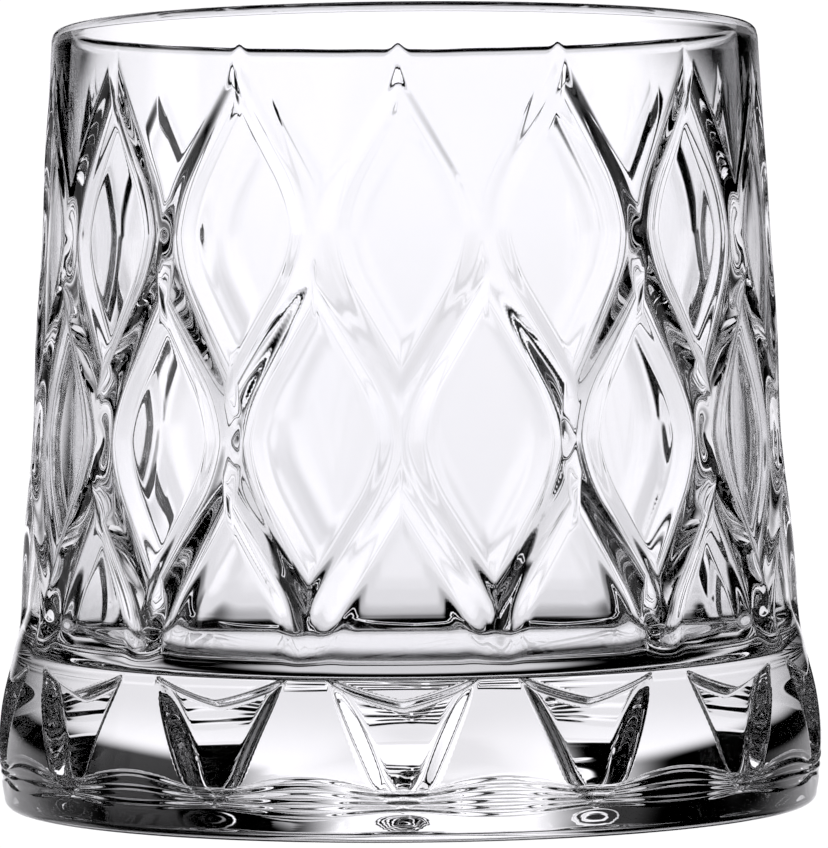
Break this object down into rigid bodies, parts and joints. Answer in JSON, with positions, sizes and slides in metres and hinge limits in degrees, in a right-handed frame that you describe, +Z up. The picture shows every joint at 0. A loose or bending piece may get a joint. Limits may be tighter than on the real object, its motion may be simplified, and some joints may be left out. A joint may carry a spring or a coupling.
{
  "type": "whisky tumbler",
  "caption": "Squat clear whisky tumbler with leaf-shaped panels on its wall and arrowhead notches around a heavy flared foot.",
  "frame": {"origin": "centre of the ring that the glass stands on, at table height", "axes": "+Z up along the axis of the glass, -Y towards the column of panels and the notch that face the viewer"},
  "size_m": [0.0894, 0.0892, 0.084],
  "materials": {
    "clear_glass": "polished"
  },
  "bodies": {
    "root": {"rim": "clear_glass", "leaf_wall": "clear_glass", "foot": "clear_glass"}
  },
  "joints": []
}
